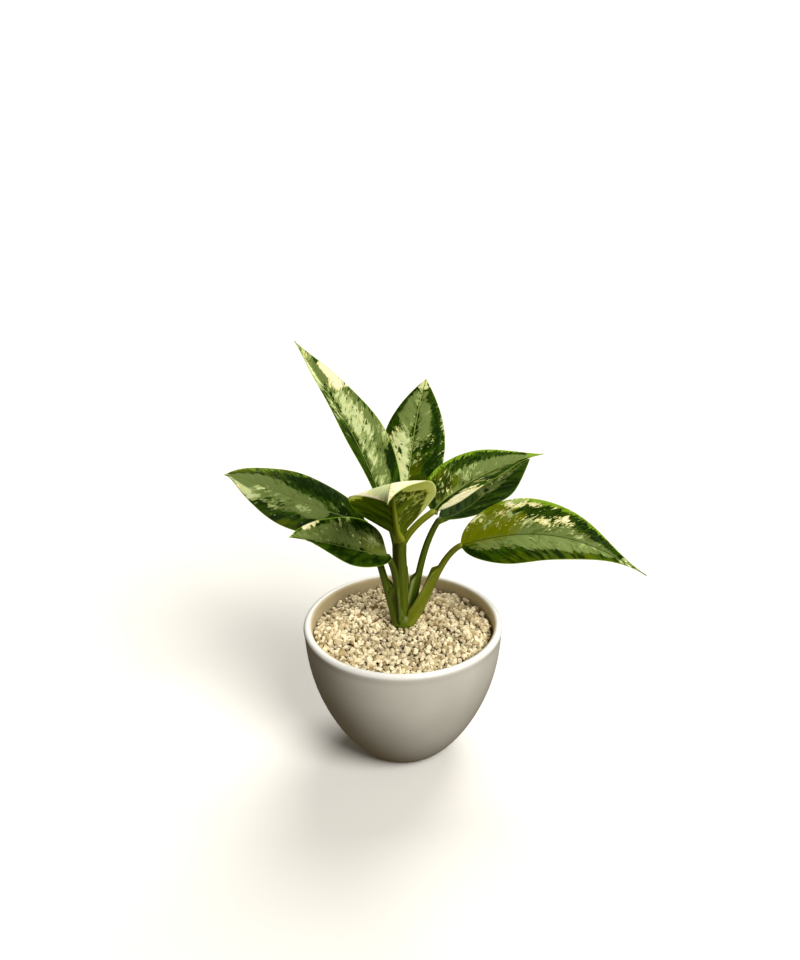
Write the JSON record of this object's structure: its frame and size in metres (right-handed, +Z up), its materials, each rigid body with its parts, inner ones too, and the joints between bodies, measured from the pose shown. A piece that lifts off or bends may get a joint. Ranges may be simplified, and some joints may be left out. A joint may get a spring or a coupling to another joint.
{
  "type": "potted chinese evergreen",
  "caption": "Young aroid house plant with cream-flecked, drip-tipped leaves on sheathed stalks, standing in a round-bottomed glazed pot topped with pale stone chips.",
  "frame": {"origin": "middle of the pot's flat foot, on the surface that it stands on", "axes": "+Z up, +Y away from the viewer of the picture, +X to the viewer's right"},
  "size_m": [0.2988, 0.1996, 0.3094],
  "materials": {
    "pot_glaze": "satin warm white glaze",
    "potting_mix": "damp peat and bark",
    "stone_chips": "dry, rough, cream to beige",
    "leaf_stalk": "smooth olive green stalks",
    "leaf_blade": "satin leaf, dark green marbled with sage, mint and cream"
  },
  "bodies": {
    "root": {"pot": "pot_glaze", "potting_mix": "potting_mix", "stone_chips": "stone_chips", "stem": "leaf_stalk", "leaf_upper_left": "leaf_blade", "leaf_upper_middle": "leaf_blade", "leaf_right_upper": "leaf_blade", "leaf_right_behind": "leaf_blade", "leaf_right_low": "leaf_blade", "leaf_left_upper": "leaf_blade", "leaf_left_low": "leaf_blade", "leaf_front": "leaf_blade"}
  },
  "joints": []
}
